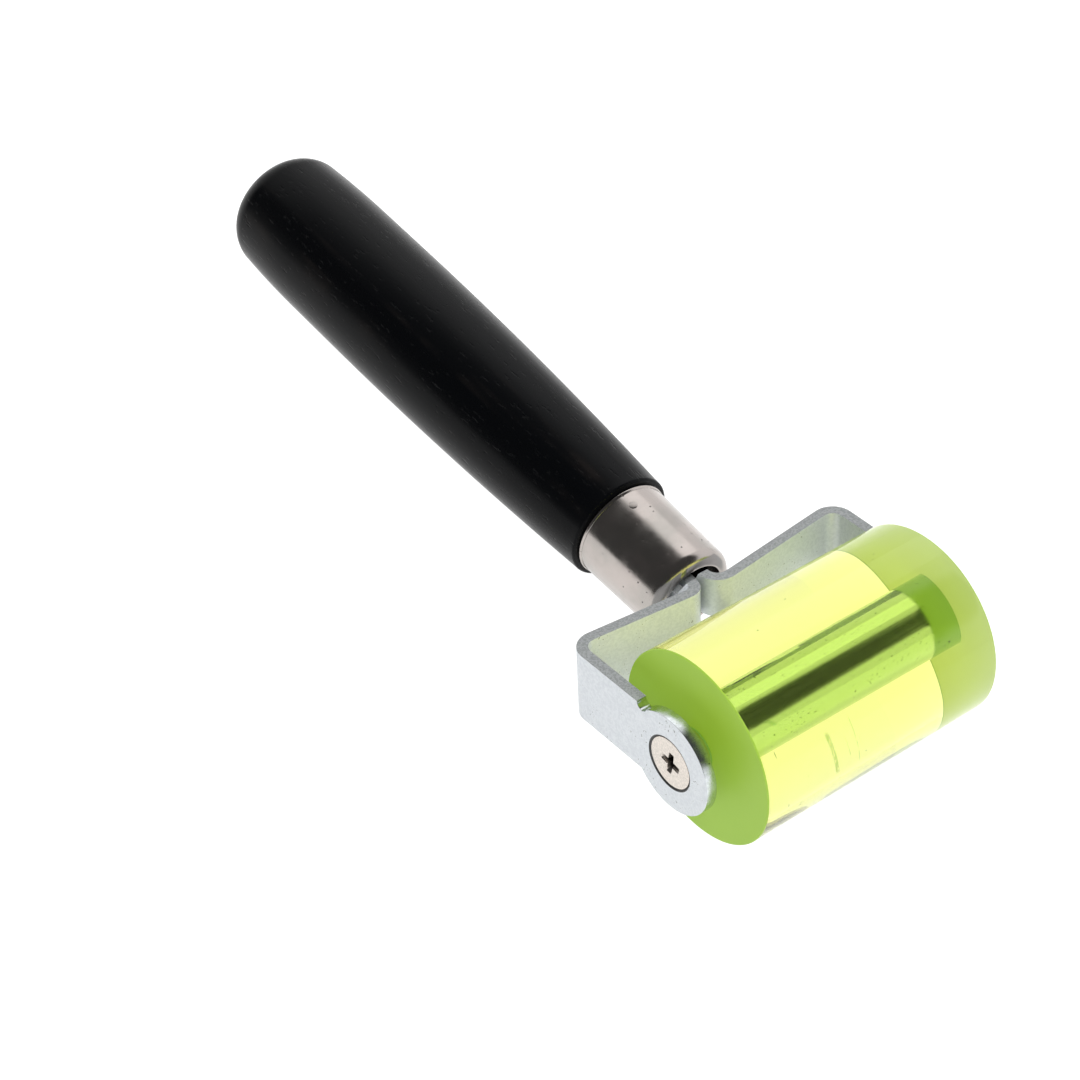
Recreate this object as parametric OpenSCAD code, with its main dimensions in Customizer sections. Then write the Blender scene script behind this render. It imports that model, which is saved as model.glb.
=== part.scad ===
// Rubber brayer: a clear polyurethane roller in a two-armed steel fork, with a turned wooden handle.
// The origin is under the middle of the tool, on the surface that it lies on.
// X runs along the roller's axle, +Y along the handle away from the roller, and +Z is up.

/* [Roller] */
// Diameter of the clear tyre
roller_d = 35; // [30:0.5:45]
// Length of the clear tyre
roller_len = 50; // [30:1:80]
// How far the tyre sits to the right of the fork's middle
tyre_shift = 0.9; // [-1:0.1:1]
// Rounding of the tyre's two outer edges
tyre_edge_r = 0.3; // [0.1:0.1:1]
// Outside diameter of the steel tube inside the tyre
core_d = 8; // [7.4:0.1:10]
// Side play of the core tube at each arm
end_play = 0.3; // [0.1:0.05:0.5]
// Chamfer on the core tube's outer edges
core_chamfer = 0.3; // [0.1:0.05:0.4]

/* [Axle] */
// Outside diameter of the hollow axle
axle_d = 6; // [5.4:0.1:6.6]
// Clearance of the tube on the axle, measured on the radius
running_fit = 0.05; // [0.02:0.01:0.1]
// Diameter of the two countersunk heads
head_d = 9.5; // [8.5:0.1:11.4]
// Height of the straight rim around each head
head_rim = 0.25; // [0.1:0.05:0.4]
// How far each head lies below the face of its arm
head_sink = 0.15; // [0.05:0.05:0.3]
// Diameter of the screw's threaded shank
screw_d = 4; // [3:0.1:4.5]
// Clearance of the screw in the axle's thread, measured on the radius
thread_fit = 0.03; // [0.01:0.01:0.1]
// Length of the screw's shank
screw_len = 12; // [8:1:20]
// Depth of the threaded hole beyond the screw's tip
thread_runout = 3; // [1:0.5:6]
// Depth of the cross recess in each head
recess_depth = 1.7; // [1.2:0.1:2]
// Width of each arm of the cross recess
recess_w = 1.1; // [0.8:0.1:1.4]
// Width across the cross recess at the face
recess_span = 4.4; // [3.5:0.1:5]
// Width across the cross recess at its bottom
recess_tip = 1.4; // [1.2:0.1:2]

/* [Fork] */
// Width of the steel strip
strip_w = 14; // [11:0.5:17]
// Thickness of the steel strip
strip_t = 2; // [1.6:0.1:2.5]
// Mean gap between the tyre's ends and the arms
arm_gap = 2.7; // [2:0.1:6]
// Gap between the tyre and the middle of the fork's back
back_gap = 4.4; // [2:0.1:8]
// Radius of the round eye at the end of each arm
eye_r = 9.4; // [8:0.1:11]
// How far the eye's centre lies below the middle of the strip
eye_drop = 0.9; // [0:0.1:1.5]
// Radius of the relief notch above each eye
notch_r = 1.2; // [0.6:0.1:2]
// Distance of the relief notch from the eye's centre
notch_place = 6.8; // [6:0.1:8]
// Slope of the arms, down towards the handle
fork_pitch = 9.5; // [0:0.5:12]
// Slope of the back strips, in towards the roller
back_slope = 6; // [0:0.5:10]
// Inside radius of the bend at each corner
corner_r = 2; // [0.6:0.1:3]
// Outside radius of the left half's turn into the handle
left_turn_r = 3; // [2.7:0.1:5]
// Outside radius of the right half's turn into the handle
right_turn_r = 4; // [2.7:0.1:6]
// Gap between the two tangs
tang_gap = 1.2; // [0:0.1:2]
// How far the middle of that gap lies left of the handle's axis
seam_shift = 2.1; // [0:0.1:2.2]
// Width of the strip at its turn into the handle, left by the cut in its lower edge
neck_w = 8; // [7:0.5:10]
// Distance of that cut's end from the handle's axis
neck_reach = 8; // [6:0.5:12]
// Width of each tang
tang_w = 6.4; // [5:0.2:7]
// Height of the tangs' middle above the handle's axis
tang_rise = 0.8; // [0:0.1:1]
// Length of tang held in the wood
tang_len = 32; // [20:1:45]

/* [Ferrule] */
// Length of the ferrule
ferrule_len = 20; // [16:0.5:26]
// Outside diameter of the ferrule at the wood
ferrule_back_d = 18.6; // [17.6:0.1:20]
// Outside diameter of the ferrule at its lip
ferrule_front_d = 17.8; // [17:0.1:18.6]
// Thickness of the ferrule's wall
ferrule_wall = 0.8; // [0.5:0.1:1.2]
// Outside radius of the lip turned in at the front
lip_r = 2.2; // [1.5:0.1:2.6]
// Width of the bead rolled on the back edge
bead_w = 1; // [0.6:0.1:1.5]
// Height of the bead above the wall
bead_h = 0.15; // [0.05:0.05:0.4]
// Gap between the fork and the front of the ferrule
ferrule_gap = 2; // [0.5:0.1:4]
// Diameter of the brad's head
brad_head_d = 1.5; // [1.2:0.1:2]
// Height of the brad's head
brad_head_h = 0.2; // [0.1:0.05:0.4]
// Diameter of the brad's shank
brad_d = 0.9; // [0.7:0.1:1.1]
// Length of the brad under its head
brad_len = 3; // [2:0.5:3]
// Distance of the brad from the ferrule's back edge
brad_inset = 3.7; // [2.5:0.1:5]
// Turn of the brad about the handle, from the top towards the left
brad_turn = 6; // [0:1:30]

/* [Handle] */
// Length of the wood behind the ferrule
handle_len = 109.5; // [90:0.5:140]
// Largest diameter of the handle
belly_d = 25.4; // [23.4:0.2:31]
// Length of the straight stretch at the belly
belly_len = 14; // [8:1:20]
// Distance from the handle's back end to the middle of the belly
belly_back = 29; // [24:1:40]
// Diameter of the wood at the ferrule
neck_d = 20.8; // [19.8:0.1:22.5]
// Diameter where the back end starts to round over
butt_d = 24.4; // [20:0.1:25]
// Rounding of the handle's back end
butt_r = 6; // [3:0.5:8]
// Crown of the handle's back end
butt_crown = 0.8; // [0.2:0.1:2]
// Rounding of the wood's shoulder at the ferrule
shoulder_r = 0.5; // [0.2:0.1:0.6]
// Depth of the spigot's front behind the ferrule's lip
spigot_recess = 3.5; // [2.7:0.1:6]
// Clearance of the spigot in the ferrule, measured on the radius
spigot_fit = 0.03; // [0.01:0.01:0.1]
// Clearance of the tangs in their hole, measured on the radius
tang_fit = 0.03; // [0.01:0.01:0.1]
// Depth of that hole beyond the tangs' ends
tang_end_gap = 0.5; // [0.2:0.1:1]

/* [Hidden] */
$fn = 96;
LEFT = -1;
RIGHT = 1;
// Lap of one solid into the next where a piece is drawn in several
weld = 0.02;
// How far a cutting shape runs past what it cuts
past = 1;
// Steps in which each bend of the strip is drawn
bend_steps = 12;

// Points of an arc, between two angles
function arc(centre, r, from, to, steps) = [for (i = [0:steps])
    let (a = from + (to - from) * i / steps) centre + r * [cos(a), sin(a)]];

// The fork lies in its own frame, at the axle and turned by its pitch: x along the axle, y along the
// arms towards the handle, z across the strip.
arm_in = roller_len / 2 + arm_gap;
arm_out = arm_in + strip_t;
strip_bottom = eye_drop - strip_w / 2;
strip_top = strip_bottom + strip_w;
bend_r = corner_r + strip_t;
corner_x = arm_out - bend_r;
crest_y = roller_d / 2 + back_gap;

function turn_r(side) = side == LEFT ? left_turn_r : right_turn_r;
function seam_x(side) = tang_gap / 2 - side * seam_shift;
// Distance between the centres of a half's two bends, across the back strip
function bend_step(side) = bend_r + turn_r(side) - strip_t;
function back_len(side) =
    (corner_x - bend_step(side) * sin(back_slope) - seam_x(side) - turn_r(side)) / cos(back_slope);
function back_drop(side) = bend_step(side) * cos(back_slope) - back_len(side) * sin(back_slope);
corner_y = crest_y + max([for (side = [LEFT, RIGHT]) turn_r(side) - back_drop(side)]);
function turn_y(side) = corner_y + back_drop(side);

// Places in the tool's own frame, measured from the axle
handle_drop = roller_d / 2 - belly_d / 2;
shoulder_len = 0.3;
turn_end = max(turn_y(LEFT), turn_y(RIGHT)) + shoulder_len;
ferrule_front = turn_end * cos(fork_pitch) + strip_top * sin(fork_pitch) + ferrule_gap;
ferrule_back = ferrule_front + ferrule_len;
tool_len = roller_d / 2 + ferrule_back + handle_len;

axle_z = roller_d / 2;
axle_y = roller_d / 2 - tool_len / 2;
handle_z = belly_d / 2;

core_r = core_d / 2;
core_len = 2 * (arm_in - end_play);
head_r = head_d / 2;
head_face = arm_out - head_sink;
sink_r = head_r + head_rim + head_sink;
barrel_end = head_face - head_rim - (head_r - screw_d / 2) - thread_fit;

module at_axle() { translate([0, axle_y, axle_z]) children(); }
module in_fork() { at_axle() rotate([-fork_pitch, 0, 0]) children(); }
// The handle's parts are turned about +Z and laid along +Y, with 0 at the ferrule's lip
module on_handle() { translate([0, axle_y + ferrule_front, handle_z]) rotate([-90, 0, 0]) children(); }
// An outline in Y and Z, pushed through from one X to another
module plate(x0, x1) { translate([x0, 0, 0]) rotate([90, 0, 90]) linear_extrude(x1 - x0) children(); }

// ---- fork ----

// The strip seen along its width, from the end of its arm, round the corner and across to its turn
module bent_outline(side) {
    corner = [corner_x, corner_y];
    turn = [seam_x(side) + turn_r(side), turn_y(side)];
    polygon(concat(
        [[arm_out, corner_y - weld]],
        arc(corner, bend_r, 0, 90 + back_slope, bend_steps),
        arc(turn, turn_r(side) - strip_t, 270 + back_slope, 180, bend_steps),
        [[seam_x(side) + strip_t, turn[1] + weld], [seam_x(side), turn[1] + weld]],
        arc(turn, turn_r(side), 180, 270 + back_slope, bend_steps),
        arc(corner, corner_r, 90 + back_slope, 0, bend_steps),
        [[arm_in, corner_y - weld]]
    ));
}

module eye_outline() {
    difference() {
        union() {
            circle(eye_r);
            translate([notch_place, strip_bottom]) square([corner_y - notch_place, strip_w]);
        }
        translate([notch_place, strip_top]) circle(notch_r);
    }
}

// Turns a point of the tool's Y and Z, measured from the axle, into the fork's own frame
function to_fork(p) = [p[0] * cos(fork_pitch) - p[1] * sin(fork_pitch),
                       p[0] * sin(fork_pitch) + p[1] * cos(fork_pitch)];

// Behind its turn the strip narrows again, to a tang that runs level in the handle
module tang_outline(start_y) {
    tang_front = ferrule_front - ferrule_gap / 3;
    tang_back = ferrule_front + spigot_recess + tang_len;
    tang_z = tang_rise - handle_drop;
    polygon([
        [start_y, strip_top - neck_w],
        [start_y + shoulder_len, strip_top - neck_w],
        to_fork([tang_front, tang_z - tang_w / 2]),
        to_fork([tang_back, tang_z - tang_w / 2]),
        to_fork([tang_back, tang_z + tang_w / 2]),
        to_fork([tang_front, tang_z + tang_w / 2]),
        [start_y + shoulder_len, strip_top],
        [start_y, strip_top]
    ]);
}

// One bent half of the fork, drawn for the right and mirrored for the left
module fork_half(side) {
    mirror([side == LEFT ? 1 : 0, 0, 0]) {
        difference() {
            union() {
                plate(arm_in, arm_out) eye_outline();
                translate([0, 0, strip_bottom]) linear_extrude(strip_w) bent_outline(side);
            }
            translate([-neck_reach, crest_y - past, strip_bottom - past])
                cube([2 * neck_reach, bend_step(side) + 2 * past, strip_w - neck_w + past]);
            translate([arm_out, 0, 0]) rotate([0, -90, 0])
                cylinder(r1 = sink_r, r2 = sink_r - strip_t, h = strip_t);
            translate([arm_in - past, 0, 0]) rotate([0, 90, 0])
                cylinder(r = axle_d / 2 + running_fit, h = strip_t + 2 * past);
        }
        plate(seam_x(side), seam_x(side) + strip_t) tang_outline(turn_y(side));
    }
}

module fork_left() { color("silver") in_fork() fork_half(LEFT); }
module fork_right() { color("silver") in_fork() fork_half(RIGHT); }

// ---- roller ----

module roller_tyre() {
    color([0.78, 0.92, 0.25, 0.7]) at_axle() translate([tyre_shift - roller_len / 2, 0, 0])
        rotate([0, 90, 0]) difference() {
            union() {
                translate([0, 0, tyre_edge_r])
                    cylinder(d = roller_d, h = roller_len - 2 * tyre_edge_r);
                cylinder(d = roller_d - 2 * tyre_edge_r, h = roller_len);
                for (end_x = [tyre_edge_r, roller_len - tyre_edge_r]) translate([0, 0, end_x])
                    rotate_extrude() translate([roller_d / 2 - tyre_edge_r, 0]) circle(tyre_edge_r, $fn = 24);
            }
            translate([0, 0, -past]) cylinder(r = core_r, h = roller_len + 2 * past);
        }
}

module core_tube() {
    color("gainsboro") at_axle() translate([-core_len / 2, 0, 0]) rotate([0, 90, 0]) difference() {
        union() {
            cylinder(r1 = core_r - core_chamfer, r2 = core_r, h = core_chamfer);
            translate([0, 0, core_chamfer]) cylinder(r = core_r, h = core_len - 2 * core_chamfer);
            translate([0, 0, core_len - core_chamfer])
                cylinder(r1 = core_r, r2 = core_r - core_chamfer, h = core_chamfer);
        }
        translate([0, 0, -past]) cylinder(r = axle_d / 2 + running_fit, h = core_len + 2 * past);
    }
}

// ---- axle: a hollow, threaded half from the left and a screw from the right ----

// The countersunk head, face at 0 and shank along +Z
module cross_head(shank_r) {
    difference() {
        union() {
            cylinder(r = head_r, h = head_rim);
            translate([0, 0, head_rim]) cylinder(r1 = head_r, r2 = shank_r, h = head_r - shank_r);
        }
        intersection() {
            translate([0, 0, -weld])
                cylinder(d1 = recess_span, d2 = recess_tip, h = recess_depth);
            union() for (turn = [0, 90]) rotate([0, 0, turn])
                translate([-recess_span, -recess_w / 2, -past])
                    cube([2 * recess_span, recess_w, recess_depth + 2 * past]);
        }
    }
}

module axle_barrel() {
    shank_top = head_rim + head_r - axle_d / 2;
    hole_len = screw_len + thread_runout;
    color("tan") at_axle() translate([-head_face, 0, 0]) rotate([0, 90, 0]) difference() {
        union() {
            cross_head(axle_d / 2);
            translate([0, 0, shank_top - weld])
                cylinder(d = axle_d, h = head_face + barrel_end - shank_top + weld);
        }
        translate([0, 0, head_face + barrel_end - hole_len])
            cylinder(r = screw_d / 2 + thread_fit, h = hole_len + past);
    }
}

module axle_screw() {
    shank_top = head_rim + head_r - screw_d / 2;
    color("tan") at_axle() translate([head_face, 0, 0]) rotate([0, -90, 0]) {
        cross_head(screw_d / 2);
        translate([0, 0, shank_top - weld]) cylinder(d = screw_d, h = screw_len);
    }
}

// ---- ferrule ----

ferrule_back_r = ferrule_back_d / 2;
ferrule_front_r = ferrule_front_d / 2;
// Outside radius of the ferrule's cone, at a distance behind the lip
function cone_r(y) = ferrule_front_r
    + (ferrule_back_r - ferrule_front_r) * (y - lip_r) / (ferrule_len - lip_r);

module ferrule_cone(inset, y0, y1) {
    translate([0, 0, y0]) cylinder(r1 = cone_r(y0) - inset, r2 = cone_r(y1) - inset, h = y1 - y0);
}

module brad_place() {
    brad_y = ferrule_len - brad_inset;
    on_handle() translate([0, 0, brad_y]) rotate([0, 0, -brad_turn])
        rotate([90, 0, 0]) translate([0, 0, cone_r(brad_y)]) children();
}

module brad_shank(extra) {
    brad_place() translate([0, 0, -brad_len]) cylinder(d = brad_d, h = brad_len + extra, $fn = 32);
}

module ferrule() {
    color("silver") difference() {
        on_handle() {
            difference() {
                ferrule_cone(0, lip_r, ferrule_len);
                ferrule_cone(ferrule_wall, lip_r - past, ferrule_len + past);
            }
            rotate_extrude() translate([ferrule_front_r - lip_r, lip_r]) intersection() {
                difference() { circle(lip_r); circle(lip_r - ferrule_wall); }
                translate([0, -lip_r]) square(lip_r);
            }
            rotate_extrude() translate([ferrule_back_r + bead_h - bead_w / 2, ferrule_len - bead_w / 2])
                intersection() { circle(d = bead_w); translate([-bead_h, -bead_w]) square(2 * bead_w); }
        }
        brad_shank(past);
    }
}

module ferrule_brad() {
    color("tan") {
        difference() {
            brad_place() translate([0, 0, -brad_head_h])
                cylinder(d = brad_head_d, h = 2 * brad_head_h, $fn = 32);
            on_handle() ferrule_cone(0, lip_r, ferrule_len);
        }
        brad_shank(brad_head_h / 2);
    }
}

// ---- handle ----

// Points of a swelling outline, steep at r0 and y0 and level where it meets r1 at y1
function swell(r0, y0, r1, y1, steps) = [for (i = [0:steps])
    let (k = 1 - i / steps) [r1 + (r0 - r1) * k * k, y1 + (y0 - y1) * k]];
function reversed(points) = [for (i = [len(points) - 1:-1:0]) points[i]];

back_y = ferrule_len + handle_len;
belly_y0 = back_y - belly_back - belly_len / 2;
belly_y1 = belly_y0 + belly_len;
tang_hole_r = norm([strip_t + tang_gap / 2, tang_w / 2]) + tang_fit;

module wood_outline() {
    neck_r = neck_d / 2;
    neck_y = ferrule_len + shoulder_r;
    butt_y = back_y - butt_crown - butt_r;
    butt_edge = butt_d / 2 - butt_r;
    polygon(concat(
        [[0, ferrule_len]],
        arc([neck_r - shoulder_r, neck_y], shoulder_r, -90, 0, 6),
        swell(neck_r, neck_y + shoulder_r, belly_d / 2, belly_y0, 14),
        reversed(swell(butt_d / 2, butt_y, belly_d / 2, belly_y1, 8)),
        arc([butt_edge, butt_y], butt_r, 6, 84, 13),
        [for (i = [3:-1:0]) [butt_edge * i / 4, back_y - butt_crown * i * i / 16]]
    ));
}

module handle() {
    color([0.03, 0.03, 0.035]) difference() {
        on_handle() difference() {
            union() {
                rotate_extrude() wood_outline();
                ferrule_cone(ferrule_wall + spigot_fit, spigot_recess, ferrule_len + weld);
            }
            translate([-seam_shift, -tang_rise, spigot_recess - past])
                cylinder(r = tang_hole_r, h = tang_len + past + tang_end_gap);
        }
        brad_shank(0);
    }
}

handle();
ferrule();
ferrule_brad();
fork_left();
fork_right();
roller_tyre();
core_tube();
axle_barrel();
axle_screw();
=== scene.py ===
import math

import bmesh
import bpy
import numpy as np
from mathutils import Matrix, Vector


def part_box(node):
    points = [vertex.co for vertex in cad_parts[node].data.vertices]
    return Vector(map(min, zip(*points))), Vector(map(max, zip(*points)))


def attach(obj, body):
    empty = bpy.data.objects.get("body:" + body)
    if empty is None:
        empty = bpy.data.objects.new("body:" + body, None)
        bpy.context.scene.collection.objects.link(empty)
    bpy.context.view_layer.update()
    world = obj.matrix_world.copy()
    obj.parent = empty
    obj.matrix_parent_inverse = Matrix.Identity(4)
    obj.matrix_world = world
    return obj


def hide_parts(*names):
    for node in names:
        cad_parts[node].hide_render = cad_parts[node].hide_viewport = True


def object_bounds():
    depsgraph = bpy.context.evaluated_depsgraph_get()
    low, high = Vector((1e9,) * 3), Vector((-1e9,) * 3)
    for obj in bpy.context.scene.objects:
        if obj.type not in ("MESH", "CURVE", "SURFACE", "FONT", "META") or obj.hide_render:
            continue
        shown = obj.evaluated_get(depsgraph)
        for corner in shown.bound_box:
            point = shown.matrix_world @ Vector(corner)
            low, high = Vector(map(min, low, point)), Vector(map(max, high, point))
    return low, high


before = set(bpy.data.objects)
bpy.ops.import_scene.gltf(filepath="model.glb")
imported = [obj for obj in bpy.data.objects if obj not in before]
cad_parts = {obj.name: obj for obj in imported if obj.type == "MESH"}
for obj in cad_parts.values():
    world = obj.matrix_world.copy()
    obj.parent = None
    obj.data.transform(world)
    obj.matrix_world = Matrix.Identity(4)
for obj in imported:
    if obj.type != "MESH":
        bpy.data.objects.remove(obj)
cad_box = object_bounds()

# ---- Camera ----
# It looks down on the roller's left end from the front, with the handle going away to the upper left,
# and leans a few degrees. The lens is long, so the sides of the tool stay almost parallel.
MM = 0.001
CAMERA_FROM_AXLE = Vector((-226.0, -190.0, 328.6)) * MM
CAMERA_TURN = [math.radians(angle) for angle in (44.07, -3.43, -37.44)]
LENS = 88.8

scene = bpy.context.scene
tyre_low, tyre_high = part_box("roller_tyre")
axle = (tyre_low + tyre_high) / 2
axle.x = 0.0
camera = bpy.data.objects.new("camera", bpy.data.cameras.new("camera"))
camera.data.lens = LENS
camera.data.clip_start = 0.01
camera.location = axle + CAMERA_FROM_AXLE
camera.rotation_euler = CAMERA_TURN
scene.collection.objects.link(camera)
scene.camera = camera
scene.view_settings.view_transform = "Standard"

# ---- Studio ----
# A white room that is dark behind the camera and low down to the camera's left: the polished metal
# shows that as a dark band. The floor is a lit white table, so the tool throws hardly any shadow. A
# softbox stands at the back, and two weak fills by the camera and overhead reach in behind the roller.
ROOM_LIGHT = 1.1
DARK_SIDE = 0.07
# Each dark patch: the way to its middle, and how far its edge lies from there, in degrees
DARK_PATCHES = ((CAMERA_FROM_AXLE.normalized(), 70), (Vector((-0.76, 0.53, 0.38)).normalized(), 33))
EDGE_BLUR = 0.045
TABLE_GLOW = 1.02
TABLE_WHITE = (0.2, 0.2, 0.2, 1)
TABLE_HALF = 3.0
WHITE = (1, 1, 1, 1)
# Each lamp: watts, width, where it stands from the axle, and whether polished surfaces show it
LAMPS = {"softbox": (1.5, 1.2, Vector((0.9, 1.1, 1.3)), True),
         "fill": (2.0, 0.5, CAMERA_FROM_AXLE * 1.35, False),
         "overhead": (4.0, 0.25, Vector((0.03, -0.16, 0.62)), False)}


def add(tree, kind, settings=None, **inputs):
    """A new node with its settings and inputs. An input that is a socket is linked, and one that has no
    name of its own is given by its number, as _0 or _1."""
    node = tree.nodes.new("ShaderNode" + kind)
    for key, value in (settings or {}).items():
        setattr(node, key, value)
    for key, value in inputs.items():
        socket = node.inputs[int(key[1:]) if key[1:].isdigit() else key.replace("_", " ")]
        if isinstance(value, bpy.types.NodeSocket):
            tree.links.new(value, socket)
        else:
            socket.default_value = value
    return node


def calc(tree, operation, first, second):
    """Two values put through one Math operation."""
    return add(tree, "Math", {"operation": operation}, _0=first, _1=second).outputs[0]


def dot(tree, first, second):
    """The dot product of two vectors."""
    return add(tree, "VectorMath", {"operation": "DOT_PRODUCT"}, _0=first, _1=second).outputs["Value"]


def between(tree, value, low, high, to_low=0.0, to_high=1.0):
    """value's stretch from low to high becomes to_low to to_high, smoothly."""
    return add(tree, "MapRange", {"interpolation_type": "SMOOTHSTEP"}, Value=value, From_Min=low,
               From_Max=high, To_Min=to_low, To_Max=to_high).outputs["Result"]


room = bpy.data.worlds.new("room")
room.use_nodes = True
tree = room.node_tree
tree.nodes.clear()
direction = add(tree, "TexCoord").outputs["Generated"]
past_edge = [calc(tree, "SUBTRACT", dot(tree, direction, middle), math.cos(math.radians(reach)))
             for middle, reach in DARK_PATCHES]
dimmed = between(tree, calc(tree, "MAXIMUM", *past_edge), -EDGE_BLUR, EDGE_BLUR, ROOM_LIGHT, DARK_SIDE)
# The background itself stays plain white: the patches show only in reflections and through the resin
backdrop = add(tree, "Mix", {"data_type": "FLOAT"}, A=dimmed, B=ROOM_LIGHT,
               Factor=add(tree, "LightPath").outputs["Is Camera Ray"]).outputs["Result"]
glow = add(tree, "Background", Color=WHITE, Strength=backdrop).outputs["Background"]
tree.links.new(glow, add(tree, "OutputWorld").inputs["Surface"])
scene.world = room

table_mesh = bpy.data.meshes.new("table")
corners = [(x, y, cad_box[0][2]) for x, y in ((-TABLE_HALF, -TABLE_HALF), (TABLE_HALF, -TABLE_HALF),
                                              (TABLE_HALF, TABLE_HALF), (-TABLE_HALF, TABLE_HALF))]
table_mesh.from_pydata(corners, [], [(0, 1, 2, 3)])
table = bpy.data.objects.new("table", table_mesh)
scene.collection.objects.link(table)
table_paint = bpy.data.materials.new("lit_table")
table_paint.use_nodes = True
shader = table_paint.node_tree.nodes["Principled BSDF"]
shader.inputs["Base Color"].default_value = TABLE_WHITE
shader.inputs["Roughness"].default_value = 1.0
shader.inputs["Specular IOR Level"].default_value = 0.0
shader.inputs["Emission Color"].default_value = WHITE
shader.inputs["Emission Strength"].default_value = TABLE_GLOW
table_mesh.materials.append(table_paint)

for name, (watts, width, place, mirrored) in LAMPS.items():
    lamp = bpy.data.objects.new(name, bpy.data.lights.new(name, "AREA"))
    lamp.data.shape = "DISK"
    lamp.data.size = width
    lamp.data.energy = watts
    lamp.location = axle + place
    lamp.rotation_euler = (-place).to_track_quat("-Z", "Y").to_euler()
    lamp.visible_camera = False
    lamp.visible_glossy = lamp.visible_transmission = mirrored
    scene.collection.objects.link(lamp)

# ---- Handle ----
# Hardwood turned on a lathe and dipped in black lacquer, which sinks into the open grain. A spigot at
# its front end fills the ferrule, and the hole in it takes the fork's two tangs.
SPIGOT_DEPTH, SPIGOT_CLEARANCE = 3.5, 0.03
TANG_HOLE_R, TANG_HOLE_LEN = 6.3, 36.0
FERRULE_LEN, FERRULE_WALL = 20.0, 0.8
NECK_R, SHOULDER_R = 10.4, 0.5
BELLY_LEN, BELLY_BACK = 14.0, 29.0
BUTT_R, BUTT_ROUND, BUTT_CROWN = 12.2, 6.0, 0.8
LACQUER = (0.0012, 0.0014, 0.0018, 1)
LACQUER_WORN = (0.008, 0.0065, 0.006, 1)

handle_low, handle_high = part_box("handle")
ferrule_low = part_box("ferrule")[0]
LIP_Y = ferrule_low.y / MM
HANDLE_AXIS = ((handle_low.x + handle_high.x) / 2 / MM, LIP_Y, (handle_low.z + handle_high.z) / 2 / MM)
BELLY_R = (handle_high.z - handle_low.z) / 2 / MM
BUTT_END = handle_high.y / MM - LIP_Y


def cone_r(along, front_r=8.9, back_r=9.3, lip=2.2):
    """Outside radius of the ferrule's cone: straight from front_r at the lip to back_r at the wood."""
    return front_r + (back_r - front_r) * (along - lip) / (FERRULE_LEN - lip)


def arc(centre, radius, start, end, steps=12):
    """Points centre + radius (cos a, sin a), with a going evenly from start to end, in degrees."""
    a = np.radians(np.linspace(start, end, steps + 1))
    return np.column_stack([centre[0] + radius * np.cos(a), centre[1] + radius * np.sin(a)])


def line(start, end, steps=1):
    """Points evenly along a straight line."""
    return np.linspace(start, end, steps + 1)


def swell(start, end, steps=40):
    """A quarter of a parabola: steep where it starts, level with the axis where it ends."""
    k = 1 - np.linspace(0, 1, steps + 1)
    return np.column_stack([end[0] + (start[0] - end[0]) * k, end[1] + (start[1] - end[1]) * k * k])


def turned(name, outline, centre, axis, closed=False, steps=192, sink=None):
    """A surface of revolution in millimetres. The outline's points (a, r) lie a along the axis from the
    centre and r away from it, and each goes round as centre + a axis + r (cos t side + sin t top).
    sink(u, v, a) is how far a point that lies at (u, v) across the axis is moved along it."""
    outline = np.asarray(outline, float)
    keep = np.append(True, np.linalg.norm(np.diff(outline, axis=0), axis=1) > 1e-6)
    outline = outline[keep]
    if closed and np.linalg.norm(outline[0] - outline[-1]) < 1e-6:
        outline = outline[:-1]
    rows = len(outline)
    t = np.arange(steps) * 2 * np.pi / steps
    a, r = outline[:, :1], outline[:, 1:]
    u, v = r * np.cos(t), r * np.sin(t)
    along = np.broadcast_to(a, u.shape)
    if sink is not None:
        along = along + sink(u, v, along)
    axis = np.asarray(axis, float)
    side = np.cross((0, 0, 1), axis)
    side /= np.linalg.norm(side)
    top = np.cross(axis, side)
    points = (np.asarray(centre, float) + along[..., None] * axis + u[..., None] * side
              + v[..., None] * top).reshape(-1, 3) * MM
    i, j = np.meshgrid(np.arange(rows if closed else rows - 1), np.arange(steps), indexing="ij")
    i2, j2 = (i + 1) % rows, (j + 1) % steps
    faces = np.stack([i * steps + j, i * steps + j2, i2 * steps + j2, i2 * steps + j], -1).reshape(-1, 4)
    mesh = bpy.data.meshes.new(name)
    mesh.from_pydata(points.tolist(), [], faces.tolist())
    tidy = bmesh.new()
    tidy.from_mesh(mesh)
    bmesh.ops.remove_doubles(tidy, verts=tidy.verts, dist=1e-8)
    bmesh.ops.recalc_face_normals(tidy, faces=tidy.faces)
    tidy.to_mesh(mesh)
    tidy.free()
    mesh.shade_smooth()
    mesh.set_sharp_from_angle(angle=math.radians(32))
    piece = bpy.data.objects.new(name, mesh)
    scene.collection.objects.link(piece)
    return piece


def new_material(name):
    """A material with one Principled shader, and what is needed to add nodes to it."""
    material = bpy.data.materials.new(name)
    material.use_nodes = True
    tree = material.node_tree
    return material, tree, tree.nodes["Principled BSDF"]


def grain(tree, scale, detail=4.0, roughness=0.5, stretch=(1, 1, 1)):
    """Noise on the piece's own coordinates, stretched, as a value from 0 to 1."""
    place = add(tree, "TexCoord").outputs["Object"]
    mapped = add(tree, "Mapping", Vector=place, Scale=stretch).outputs["Vector"]
    noise = add(tree, "TexNoise", Vector=mapped, Scale=scale, Detail=detail, Roughness=roughness)
    return noise.outputs["Fac"]


def blend_colours(tree, factor, first, second):
    """first where factor is 0 and second where it is 1."""
    mix = add(tree, "Mix", {"data_type": "RGBA"}, Factor=factor)
    for socket, colour in ((mix.inputs[6], first), (mix.inputs[7], second)):
        if isinstance(colour, bpy.types.NodeSocket):
            tree.links.new(colour, socket)
        else:
            socket.default_value = colour
    return mix.outputs[2]


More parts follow.
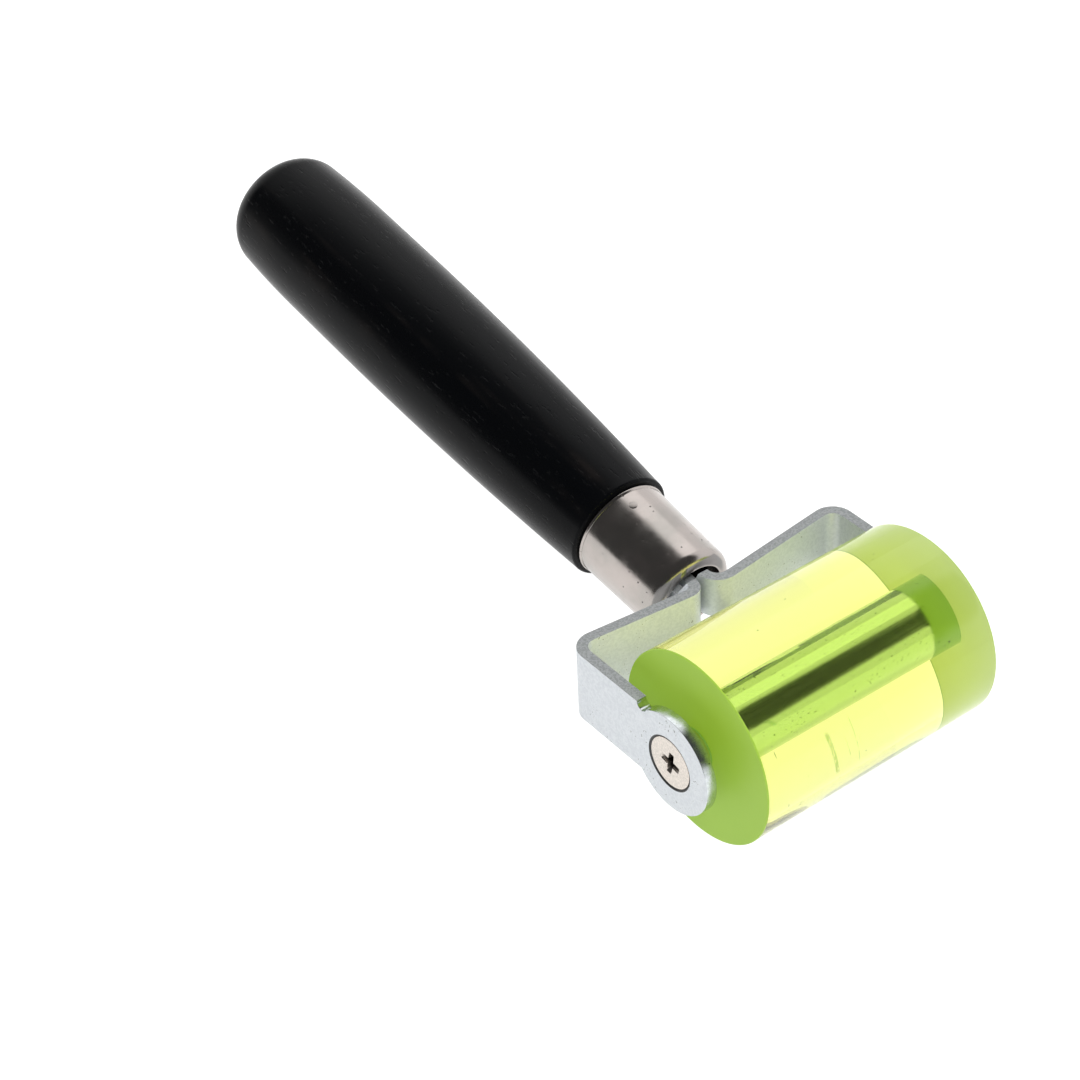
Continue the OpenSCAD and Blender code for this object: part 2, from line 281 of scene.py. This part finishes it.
def product(tree, first, second):
    """Two values multiplied."""
    return calc(tree, "MULTIPLY", first, second)


spigot_r = -FERRULE_WALL - SPIGOT_CLEARANCE
belly_start = BUTT_END - BELLY_BACK - BELLY_LEN / 2
belly_end = belly_start + BELLY_LEN
butt_start = BUTT_END - BUTT_CROWN - BUTT_ROUND
butt_edge = BUTT_R - BUTT_ROUND
crown = np.linspace(1, 0, 9)
wood_outline = np.vstack([
    line((TANG_HOLE_LEN, 0), (TANG_HOLE_LEN, TANG_HOLE_R)),
    line((SPIGOT_DEPTH, TANG_HOLE_R), (SPIGOT_DEPTH, cone_r(SPIGOT_DEPTH) + spigot_r)),
    line((FERRULE_LEN, cone_r(FERRULE_LEN) + spigot_r), (FERRULE_LEN, NECK_R - SHOULDER_R)),
    arc((FERRULE_LEN + SHOULDER_R, NECK_R - SHOULDER_R), SHOULDER_R, 180, 90, 8),
    swell((FERRULE_LEN + 2 * SHOULDER_R, NECK_R), (belly_start, BELLY_R), 60),
    line((belly_start, BELLY_R), (belly_end, BELLY_R), 8),
    swell((butt_start, BUTT_R), (belly_end, BELLY_R), 20)[::-1],
    arc((butt_start, butt_edge), BUTT_ROUND, 84, 6, 20),
    np.column_stack([BUTT_END - BUTT_CROWN * crown ** 2, butt_edge * crown]),
])
handle = turned("turned_handle", wood_outline, HANDLE_AXIS, (0, 1, 0))

lacquer, tree, shader = new_material("black_lacquer")
pores = between(tree, grain(tree, 1.0, 3.0, 0.6, (1500, 330, 1500)), 0.60, 0.72)
streaks = grain(tree, 1.0, 2.0, 0.5, (260, 9, 260))
waves = grain(tree, 90.0, 3.0)
sheen = product(tree, between(tree, streaks, 0.5, 0.75), between(tree, waves, 0.4, 0.7))
tree.links.new(blend_colours(tree, sheen, LACQUER, LACQUER_WORN), shader.inputs["Base Color"])
tree.links.new(between(tree, streaks, 0.25, 0.75, 0.24, 0.34), shader.inputs["Roughness"])
shader.inputs["Specular IOR Level"].default_value = 0.08
shader.inputs["Sheen Weight"].default_value = 0.03
shader.inputs["Sheen Roughness"].default_value = 0.35
relief = add(tree, "Bump", {"invert": True}, Height=pores, Strength=0.5, Distance=0.0001)
ripple = add(tree, "Bump", Height=streaks, Strength=0.5, Distance=0.00015, Normal=relief.outputs["Normal"])
tree.links.new(ripple.outputs["Normal"], shader.inputs["Normal"])
handle.data.materials.append(lacquer)
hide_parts("handle")
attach(handle, "frame")

# ---- Ferrule ----
# A cap drawn from nickel-plated steel. Its front is rolled in to a lip round the tangs, its back edge
# ends in a small bead against the wood, and handling has left fine pits and smears in the plate.
LIP_R, MOUTH_R = 2.2, 6.7
BEAD_R, BEAD_HIGH = 0.5, 0.15
NICKEL = (0.40, 0.375, 0.35, 1)
NICKEL_WARM = (0.47, 0.425, 0.40, 1)
NICKEL_PIT = (0.05, 0.045, 0.04, 1)
NICKEL_GLOSS, NICKEL_PIT_SCALE = 0.2, 800.0
PIT_DEPTH = 0.04 * MM

bead_centre = (FERRULE_LEN - BEAD_R, cone_r(FERRULE_LEN) + BEAD_HIGH - BEAD_R)
cap_outline = np.vstack([
    arc((LIP_R, MOUTH_R), LIP_R, 180, 90, 20),
    line((LIP_R, cone_r(LIP_R)), (FERRULE_LEN - 2 * BEAD_R, cone_r(FERRULE_LEN - 2 * BEAD_R)), 20),
    arc(bead_centre, BEAD_R, 165, 0, 14),
    line((FERRULE_LEN, cone_r(FERRULE_LEN) - FERRULE_WALL), (LIP_R, cone_r(LIP_R) - FERRULE_WALL), 4),
    arc((LIP_R, MOUTH_R), LIP_R - FERRULE_WALL, 90, 180, 16),
    arc((FERRULE_WALL / 2, MOUTH_R), FERRULE_WALL / 2, 0, -180, 8),
])
ferrule = turned("ferrule_cap", cap_outline, HANDLE_AXIS, (0, 1, 0), closed=True)


def pitted_nickel(name, roughness, pit_scale):
    """Plated metal: two tones in slow clouds, small dark pits, and smears in the polish."""
    material, tree, shader = new_material(name)
    clouds = between(tree, grain(tree, 140.0, 4.0), 0.35, 0.65)
    plain = blend_colours(tree, clouds, NICKEL, NICKEL_WARM)
    place = add(tree, "TexCoord").outputs["Object"]
    cells = add(tree, "TexVoronoi", Vector=place, Scale=pit_scale).outputs["Distance"]
    chosen = between(tree, grain(tree, 420.0, 2.0), 0.56, 0.64)
    pits = product(tree, between(tree, cells, 0.10, 0.17, 1.0, 0.0), chosen)
    tree.links.new(blend_colours(tree, pits, plain, NICKEL_PIT), shader.inputs["Base Color"])
    smears = grain(tree, 260.0, 5.0, 0.65)
    tree.links.new(between(tree, smears, 0.3, 0.7, roughness * 0.8, roughness * 1.3),
                   shader.inputs["Roughness"])
    shader.inputs["Metallic"].default_value = 1.0
    dents = add(tree, "Bump", {"invert": True}, Height=pits, Strength=0.6, Distance=PIT_DEPTH)
    skin = add(tree, "Bump", Height=smears, Strength=0.15, Distance=PIT_DEPTH,
               Normal=dents.outputs["Normal"])
    tree.links.new(skin.outputs["Normal"], shader.inputs["Normal"])
    return material


ferrule.data.materials.append(pitted_nickel("nickel_plate", NICKEL_GLOSS, NICKEL_PIT_SCALE))
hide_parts("ferrule")
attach(ferrule, "frame")

# ---- Brad ----
# A short nail through the ferrule into the wood, which keeps the cap from turning. Its head is pressed
# almost flush and is the same nickel, a little duller.
BRAD_INSET, BRAD_TURN = 3.7, math.radians(6)
BRAD_HEAD_R, BRAD_HIGH, BRAD_R, BRAD_LEN = 0.75, 0.12, 0.45, 3.0
BRAD_GLOSS, BRAD_PIT_SCALE = 0.32, 2500.0

brad_along = FERRULE_LEN - BRAD_INSET
brad_out = np.array((-math.sin(BRAD_TURN), 0, math.cos(BRAD_TURN)))
brad_foot = np.array(HANDLE_AXIS) + (0, brad_along, 0) + brad_out * cone_r(brad_along)
dome = np.linspace(0, 1, 9)
brad_outline = np.vstack([
    line((-BRAD_LEN, 0), (-BRAD_LEN, BRAD_R)),
    line((-BRAD_HIGH / 2, BRAD_R), (-BRAD_HIGH / 2, BRAD_HEAD_R)),
    np.column_stack([BRAD_HIGH * (0.25 + 0.75 * np.sqrt(1 - (1 - dome) ** 2)), BRAD_HEAD_R * (1 - dome)]),
])
brad = turned("brad_nail", brad_outline, brad_foot, brad_out, steps=48)
brad.data.materials.append(pitted_nickel("nickel_brad", BRAD_GLOSS, BRAD_PIT_SCALE))
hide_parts("ferrule_brad")
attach(brad, "frame")

# ---- Fork ----
# Two halves of sheared steel strip, bent at the corners and again into the handle, and zinc plated.
# The plate is bright and finely mottled on the faces, and greyer and rougher on the sheared edges.
# The countersinks round the axle are painted near black, for oil and painted shade.
EDGE_ROUND = 0.14
FORK_PITCH = math.radians(9.5)
ACROSS_STRIP = Vector((0, math.sin(FORK_PITCH), math.cos(FORK_PITCH)))
# SINK_R: how far from the axle the eye's countersink is painted dark, for oil and painted shade
EYE_REACH, SINK_R = 11.0, 5.2
ZINC = (0.595, 0.625, 0.655, 1)
ZINC_PALE = (0.67, 0.70, 0.725, 1)
ZINC_SPOT = (0.22, 0.23, 0.23, 1)
ZINC_SHEARED = (0.31, 0.325, 0.325, 1)
ZINC_TORN = (0.22, 0.23, 0.235, 1)
# Oil and painted shade in the countersinks round the axle
ZINC_OIL_AND_SHADE = (0.05, 0.05, 0.05, 1)


def of_faces(mesh, what):
    """A face vector such as "normal" or "center", with one row for each face."""
    values = np.empty(3 * len(mesh.polygons))
    mesh.polygons.foreach_get(what, values)
    return values.reshape(-1, 3)


zinc, tree, shader = new_material("zinc_plate")
sheared = add(tree, "Attribute", {"attribute_name": "sheared"}).outputs["Fac"]
speckle = between(tree, grain(tree, 1900.0, 3.0, 0.6), 0.35, 0.65)
faces_colour = blend_colours(tree, speckle, ZINC, ZINC_PALE)
spots = product(tree, between(tree, grain(tree, 1900.0, 2.0), 0.65, 0.72),
                between(tree, grain(tree, 150.0, 2.0), 0.46, 0.60))
spotted = blend_colours(tree, spots, faces_colour, ZINC_SPOT)
drag = grain(tree, 1.0, 3.0, 0.6, (2600, 2600, 900))
edge_colour = blend_colours(tree, between(tree, drag, 0.4, 0.62), ZINC_SHEARED, ZINC_TORN)
plated = blend_colours(tree, sheared, spotted, edge_colour)
# The countersinks go near black: oil and painted shade
sink_oil_and_shade = add(tree, "Attribute", {"attribute_name": "sink_oil_and_shade"}).outputs["Fac"]
tree.links.new(blend_colours(tree, sink_oil_and_shade, plated, ZINC_OIL_AND_SHADE), shader.inputs["Base Color"])
mottle = grain(tree, 700.0, 4.0, 0.6)
polish = between(tree, mottle, 0.3, 0.7, 0.40, 0.50)
punched = add(tree, "Attribute", {"attribute_name": "punched"}).outputs["Fac"]
rubbed = calc(tree, "ADD", polish, product(tree, punched, -0.28))
tree.links.new(calc(tree, "ADD", rubbed, product(tree, sheared, 0.12)), shader.inputs["Roughness"])
tree.links.new(between(tree, punched, 0.0, 1.0, 0.5, 1.0), shader.inputs["Metallic"])
torn = add(tree, "Bump", Height=drag, Strength=product(tree, sheared, 0.6), Distance=0.00012)
skin = add(tree, "Bump", Height=mottle, Strength=0.1, Distance=0.00004, Normal=torn.outputs["Normal"])
tree.links.new(skin.outputs["Normal"], shader.inputs["Normal"])

for node in ("fork_left", "fork_right"):
    strip = bpy.data.objects.new(node.replace("fork", "strip"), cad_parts[node].data.copy())
    scene.collection.objects.link(strip)
    tidy = bmesh.new()
    tidy.from_mesh(strip.data)
    bmesh.ops.remove_doubles(tidy, verts=tidy.verts, dist=1e-6)
    bmesh.ops.dissolve_limit(tidy, angle_limit=math.radians(1), verts=tidy.verts, edges=tidy.edges)
    bmesh.ops.recalc_face_normals(tidy, faces=tidy.faces)
    tidy.to_mesh(strip.data)
    tidy.free()
    normal = of_faces(strip.data, "normal")
    from_axle = of_faces(strip.data, "center") - np.array(axle)
    at_eye = from_axle[:, 1] < EYE_REACH * MM
    # Faces of the eye's countersink, which are painted dark for oil and painted shade
    in_sink = np.hypot(from_axle[:, 1], from_axle[:, 2]) < SINK_R * MM
    masks = {"sheared": ~at_eye & (abs(normal @ np.array(ACROSS_STRIP)) > 0.7),
             "punched": at_eye & (abs(normal[:, 0]) < 0.5),
             "sink_oil_and_shade": at_eye & in_sink & (abs(normal[:, 0]) < 0.9)}
    for name, chosen in masks.items():
        mask = strip.data.attributes.new(name, "FLOAT", "FACE")
        mask.data.foreach_set("value", chosen.astype(np.float32))
    strip.data.shade_smooth()
    strip.data.set_sharp_from_angle(angle=math.radians(30))
    rounding = strip.modifiers.new("rounded_edges", "BEVEL")
    rounding.width = EDGE_ROUND * MM
    rounding.segments = 2
    rounding.limit_method = "ANGLE"
    rounding.angle_limit = math.radians(35)
    rounding.harden_normals = True
    strip.data.materials.clear()
    strip.data.materials.append(zinc)
    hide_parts(node)
    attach(strip, "frame")

# ---- Axle ----
# A hollow, threaded half with a countersunk head comes in from the left, and a screw goes into it
# from the right. The heads are nickel plated and their cross recesses are a little worn.
# The cross recesses are darkened with painted shade, more the deeper they go.
HEAD_R, HEAD_RIM, HEAD_EDGE = 4.75, 0.25, 0.12
RECESS_DEPTH, RECESS_HALF_SPAN, RECESS_HALF_TIP = 1.7, 2.25, 0.7
RECESS_HALF_W, RECESS_WEAR, RECESS_ZONE = 0.52, 0.16, 2.6
# Painted shade in the recesses: the depth at which it reaches full dark, where it starts, and how far past
# the recess it reaches
SHADE_DEPTH, SHADE_START, SHADE_MARGIN = 0.7, 0.15, 0.2
BARREL_R, BORE_R, BORE_LEN, SCREW_R = 3.0, 2.03, 15.0, 2.0
NICKEL_HEAD = (0.56, 0.515, 0.465, 1)
NICKEL_HEAD_WARM = (0.64, 0.585, 0.53, 1)
# Painted shade: the dark colour deep in the cross recesses
RECESS_SHADE = (0.035, 0.028, 0.024, 1)

barrel_low, barrel_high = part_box("axle_barrel")
screw_low, screw_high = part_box("axle_screw")
AXLE_Y, AXLE_Z = axle.y / MM, axle.z / MM


def cross_recess(u, v, along):
    """Depth of a cross recess: each arm slopes in a straight line from its tip to the flat bottom, its
    sides are steep S-curves, and the deeper of the two arms counts. It fades out below the head's face."""
    run = RECESS_HALF_SPAN - RECESS_HALF_TIP
    slope = [np.clip((RECESS_HALF_SPAN - abs(p)) / run, 0, 1) for p in (u, v)]
    wall = [1 / (1 + np.exp((abs(p) - RECESS_HALF_W) / (RECESS_WEAR / 4))) for p in (v, u)]
    depth = np.maximum(slope[0] * wall[0], slope[1] * wall[1])
    return RECESS_DEPTH * depth * (along < HEAD_RIM / 2) * (np.hypot(u, v) < HEAD_R - HEAD_EDGE)


def head_outline(shank_r):
    """From the middle of the face out, over the eased edge and the rim, and down the cone to the shank."""
    return np.vstack([
        line((0, 0), (0, RECESS_ZONE), 52),
        line((0, RECESS_ZONE), (0, HEAD_R - HEAD_EDGE), 8),
        arc((HEAD_EDGE, HEAD_R - HEAD_EDGE), HEAD_EDGE, 180, 90, 5),
        line((HEAD_RIM, HEAD_R), (HEAD_RIM + HEAD_R - shank_r, shank_r), 4),
    ])


fastener, tree, shader = new_material("nickel_fastener")
rings = grain(tree, 1.0, 3.0, 0.5, (300, 2600, 2600))
clean = blend_colours(tree, between(tree, rings, 0.35, 0.65), NICKEL_HEAD, NICKEL_HEAD_WARM)
# Painted shade in the cross recesses, darker with depth
recess_shade = add(tree, "Attribute", {"attribute_name": "recess_shade"}).outputs["Fac"]
tree.links.new(blend_colours(tree, recess_shade, clean, RECESS_SHADE), shader.inputs["Base Color"])
tree.links.new(between(tree, recess_shade, 0.0, 1.0, 0.27, 0.6), shader.inputs["Roughness"])
shader.inputs["Metallic"].default_value = 1.0
rubbed = add(tree, "Bump", Height=rings, Strength=0.2, Distance=0.00004)
tree.links.new(rubbed.outputs["Normal"], shader.inputs["Normal"])

barrel_len = barrel_high.x / MM - barrel_low.x / MM
bore_end = barrel_len - BORE_LEN
barrel_outline = np.vstack([head_outline(BARREL_R),
                            line((barrel_len, BARREL_R), (barrel_len, BORE_R)),
                            line((bore_end, BORE_R), (bore_end, 0))])
screw_len = screw_high.x / MM - screw_low.x / MM
screw_outline = np.vstack([head_outline(SCREW_R), line((screw_len, SCREW_R), (screw_len, 0))])
for name, node, outline, face_x, inward in (
        ("barrel_half", "axle_barrel", barrel_outline, barrel_low.x / MM, 1.0),
        ("screw_half", "axle_screw", screw_outline, screw_high.x / MM, -1.0)):
    half = turned(name, outline, (face_x, AXLE_Y, AXLE_Z), (inward, 0, 0), sink=cross_recess)
    co = np.empty(3 * len(half.data.vertices))
    half.data.vertices.foreach_get("co", co)
    co = co.reshape(-1, 3) / MM
    depth = (co[:, 0] - face_x) * inward
    # Painted shade: each point in the recess is darkened by its depth below the face
    in_recess = np.hypot(co[:, 1] - AXLE_Y, co[:, 2] - AXLE_Z) < RECESS_HALF_SPAN + SHADE_MARGIN
    painted_shade = np.where(in_recess, np.clip(depth / SHADE_DEPTH - SHADE_START, 0, 1), 0.0)
    half.data.attributes.new("recess_shade", "FLOAT", "POINT").data.foreach_set("value", painted_shade)
    half.data.materials.append(fastener)
    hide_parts(node)
    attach(half, "frame")

# ---- Core tube ----
# A bright drawn steel tube that turns on the axle. The roller was cast round it, so its skin is seen
# through the resin, with fine lines along the draw and small dull flecks. Its two ends stay bare.
TUBE_R, TUBE_BORE, TUBE_CHAMFER = 4.0, 3.05, 0.3
# The covered skin's colours hold more green than bare steel has, which the resin alone doesn't give it:
# that extra green is painted light, the resin's green glow reflected in the steel
STEEL_GREEN_LIT = (0.52, 0.72, 0.39, 1)
STEEL_DULL_GREEN_LIT = (0.20, 0.30, 0.12, 1)
BARE_STEEL = (0.60, 0.60, 0.58, 1)
BARE_STEEL_PALE = (0.74, 0.73, 0.70, 1)

tube_low, tube_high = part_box("core_tube")
tube_half = (tube_high.x - tube_low.x) / 2 / MM
tube_outline = np.vstack([
    line((-tube_half, TUBE_BORE), (-tube_half, TUBE_R - TUBE_CHAMFER)),
    line((-tube_half + TUBE_CHAMFER, TUBE_R), (tube_half - TUBE_CHAMFER, TUBE_R), 60),
    line((tube_half, TUBE_R - TUBE_CHAMFER), (tube_half, TUBE_BORE)),
])
tube = turned("drawn_tube", tube_outline, (0, AXLE_Y, AXLE_Z), (1, 0, 0), closed=True)

steel, tree, shader = new_material("bright_steel")
lines = grain(tree, 1.0, 4.0, 0.6, (25, 2400, 2400))
flecks = between(tree, grain(tree, 1.0, 2.0, 0.5, (1500, 3000, 3000)), 0.66, 0.74)
# The covered skin's green is painted light: the resin's green glow reflected in the steel
tree.links.new(blend_colours(tree, flecks, STEEL_GREEN_LIT, STEEL_DULL_GREEN_LIT), shader.inputs["Base Color"])
tree.links.new(between(tree, lines, 0.3, 0.7, 0.05, 0.13), shader.inputs["Roughness"])
shader.inputs["Metallic"].default_value = 0.9
drawn = add(tree, "Bump", Height=lines, Strength=0.25, Distance=0.00003)
tree.links.new(drawn.outputs["Normal"], shader.inputs["Normal"])

bare, tree, shader = new_material("bare_steel")
turning = grain(tree, 1.0, 3.0, 0.5, (3000, 500, 500))
tree.links.new(blend_colours(tree, turning, BARE_STEEL, BARE_STEEL_PALE), shader.inputs["Base Color"])
shader.inputs["Metallic"].default_value = 1.0
tree.links.new(between(tree, turning, 0.3, 0.7, 0.08, 0.16), shader.inputs["Roughness"])

tube.data.materials.append(steel)
tube.data.materials.append(bare)
along = of_faces(tube.data, "center")[:, 0]
cast_over = (along > tyre_low.x) & (along < tyre_high.x)
tube.data.polygons.foreach_set("material_index", (~cast_over).astype(np.int32))
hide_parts("core_tube")
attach(tube, "roller")

# ---- Roller ----
# Clear yellow-green polyurethane cast round the tube and ground true. The round face is polished and
# the two ends are left matt from the facing cut. It has a few specks in it and two scuffs on it.
TYRE_R, TYRE_EDGE = 17.5, 0.3
BOND_R = TUBE_R - 0.03
RESIN = (1.0, 1.0, 0.95, 1)
RESIN_DEPTH_COLOUR = (0.968, 0.978, 0.33, 1)
RESIN_DENSITY = 52.0
RESIN_IOR = 1.5
MATT_END = (0.14, 0.24, 0.025, 1)
MATT_END_PALE = (0.165, 0.265, 0.035, 1)
# The matt ends glow a little and evenly, which stands for the resin's fluorescence and is a guess
MATT_GLOW_COLOUR, MATT_GLOW, MATT_ROUGHNESS = (0.26, 0.42, 0.022, 1), 0.6, 0.55
MATT_FROM = 0.25
# Each scuff: where it lies along the roller, half its width, its turn from the top towards the front,
# half its sweep in degrees, how much it runs off to the right, and its strength
SCUFFS = ((-10.1, 0.5, 72, 16, 0.196, 1.0),
          (-5.3, 0.16, 71, 18, 0.168, 0.5),
          (-7.1, 0.14, 72, 8, 0.218, 0.5))
SCUFF_COLOUR = (0.42, 0.66, 0.26, 1)
SPECK_COLOUR = (0.16, 0.26, 0.05, 1)

tyre_half = (tyre_high.x - tyre_low.x) / 2 / MM
tyre_mid = (tyre_high.x + tyre_low.x) / 2 / MM
tyre_outline = np.vstack([
    line((-tyre_half, BOND_R), (-tyre_half, TYRE_R - TYRE_EDGE), 6),
    arc((-tyre_half + TYRE_EDGE, TYRE_R - TYRE_EDGE), TYRE_EDGE, 180, 90, 8),
    line((-tyre_half + TYRE_EDGE, TYRE_R), (tyre_half - TYRE_EDGE, TYRE_R), 40),
    arc((tyre_half - TYRE_EDGE, TYRE_R - TYRE_EDGE), TYRE_EDGE, 90, 0, 8),
    line((tyre_half, TYRE_R - TYRE_EDGE), (tyre_half, BOND_R), 6),
])
tyre = turned("cast_roller", tyre_outline, (tyre_mid, AXLE_Y, AXLE_Z), (1, 0, 0), closed=True, steps=256)


def scuff_mark(tree, on_roller, along, half_w, turn, half_turn, slant, strength):
    """One scuff's strength at a point: a band that is half_w wide on each side of a line round the roller.
    The line leans by slant, and the band fades from full at its middle to nothing half_turn away."""
    turn, edge = math.radians(turn), math.cos(math.radians(half_turn))
    outward = (0, -math.sin(turn) / (TYRE_R * MM), math.cos(turn) / (TYRE_R * MM))
    lean = (1, slant * math.cos(turn), slant * math.sin(turn))
    beside = calc(tree, "SUBTRACT", dot(tree, on_roller, lean), along * MM)
    beside = calc(tree, "ABSOLUTE", beside, 0.0)
    reach = between(tree, dot(tree, on_roller, outward), edge, (1 + edge) / 2, 0.0, strength)
    return product(tree, between(tree, beside, half_w * 0.5 * MM, half_w * MM, 1.0, 0.0), reach)


def deepen_with_depth(tree):
    """Light that goes through the resin loses its blue, so a thicker stretch is a deeper yellow."""
    absorbed = add(tree, "VolumeAbsorption", Color=RESIN_DEPTH_COLOUR, Density=RESIN_DENSITY)
    tree.links.new(absorbed.outputs["Volume"], tree.nodes["Material Output"].inputs["Volume"])


resin, tree, shader = new_material("clear_polyurethane")
on_piece = add(tree, "TexCoord").outputs["Object"]
on_roller = add(tree, "Mapping", Vector=on_piece, Location=-axle).outputs["Vector"]
scuffed = 0.0
for scuff in SCUFFS:
    scuffed = calc(tree, "MAXIMUM", scuffed, scuff_mark(tree, on_roller, *scuff))
broken = grain(tree, 1.0, 3.0, 0.7, (2500, 700, 700))
scuffed = product(tree, scuffed, between(tree, broken, 0.35, 0.55, 0.25, 1.0))
dots = add(tree, "TexVoronoi", Vector=on_piece, Scale=620.0).outputs["Distance"]
specks = product(tree, between(tree, dots, 0.07, 0.12, 1.0, 0.0),
                 between(tree, grain(tree, 330.0, 2.0), 0.56, 0.63))
marked = blend_colours(tree, scuffed, RESIN, SCUFF_COLOUR)
tree.links.new(blend_colours(tree, specks, marked, SPECK_COLOUR), shader.inputs["Base Color"])
tree.links.new(between(tree, scuffed, 0.0, 1.0, 0.015, 0.45), shader.inputs["Roughness"])
shader.inputs["Transmission Weight"].default_value = 1.0
shader.inputs["IOR"].default_value = RESIN_IOR
orange_peel = grain(tree, 160.0, 2.0)
peel = add(tree, "Bump", Height=orange_peel, Strength=0.04, Distance=0.0002)
tree.links.new(peel.outputs["Normal"], shader.inputs["Normal"])
deepen_with_depth(tree)

matt, tree, shader = new_material("matt_polyurethane")
cut = grain(tree, 900.0, 4.0, 0.6)
patches = between(tree, grain(tree, 60.0, 3.0), 0.3, 0.7)
tree.links.new(blend_colours(tree, patches, MATT_END, MATT_END_PALE), shader.inputs["Base Color"])
shader.inputs["Transmission Weight"].default_value = 0.12
shader.inputs["Emission Color"].default_value = MATT_GLOW_COLOUR
shader.inputs["Emission Strength"].default_value = MATT_GLOW
shader.inputs["IOR"].default_value = RESIN_IOR
shader.inputs["Roughness"].default_value = MATT_ROUGHNESS
faced = add(tree, "Bump", Height=cut, Strength=0.2, Distance=0.00008)
tree.links.new(faced.outputs["Normal"], shader.inputs["Normal"])
deepen_with_depth(tree)

tyre.data.materials.append(resin)
tyre.data.materials.append(matt)
matt_end = abs(of_faces(tyre.data, "normal")[:, 0]) > MATT_FROM
tyre.data.polygons.foreach_set("material_index", matt_end.astype(np.int32))
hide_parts("roller_tyre")
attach(tyre, "roller")

# ---- Cloudy ends ----
# Just under each matt end the resin is taken to be cloudy, which is a guess. This skin is part of the
# casting. Its glow stands for the light that runs along inside the roller, so it is paler through the
# resin than the cut face is from outside.
CLOUDY_DEPTH, CLOUDY_THICKNESS, CLOUDY_INSET, CLOUDY_GAP = 0.06, 0.1, 0.2, 0.02
CLOUDY_GLOW_COLOUR, CLOUDY_GLOW = (0.70, 0.86, 0.28, 1), 0.6

cloudy, tree, shader = new_material("cloudy_polyurethane")
patches = between(tree, grain(tree, 60.0, 3.0), 0.3, 0.7)
tree.links.new(blend_colours(tree, patches, MATT_END, MATT_END_PALE), shader.inputs["Base Color"])
shader.inputs["Emission Color"].default_value = CLOUDY_GLOW_COLOUR
shader.inputs["Emission Strength"].default_value = CLOUDY_GLOW
shader.inputs["IOR"].default_value = RESIN_IOR
shader.inputs["Roughness"].default_value = MATT_ROUGHNESS

skin_bore, skin_rim, skin_back = TUBE_R + CLOUDY_GAP, TYRE_R - CLOUDY_INSET, CLOUDY_DEPTH + CLOUDY_THICKNESS
skin_outline = np.vstack([line((CLOUDY_DEPTH, skin_bore), (CLOUDY_DEPTH, skin_rim), 6),
                          line((skin_back, skin_rim), (skin_back, skin_bore), 6)])
for name, end_x, inward in (("cloudy_end_left", tyre_low.x / MM, 1.0),
                            ("cloudy_end_right", tyre_high.x / MM, -1.0)):
    skin = turned(name, skin_outline, (end_x, AXLE_Y, AXLE_Z), (inward, 0, 0), closed=True, steps=256)
    skin.data.materials.append(cloudy)
    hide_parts("roller_tyre")
    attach(skin, "roller")
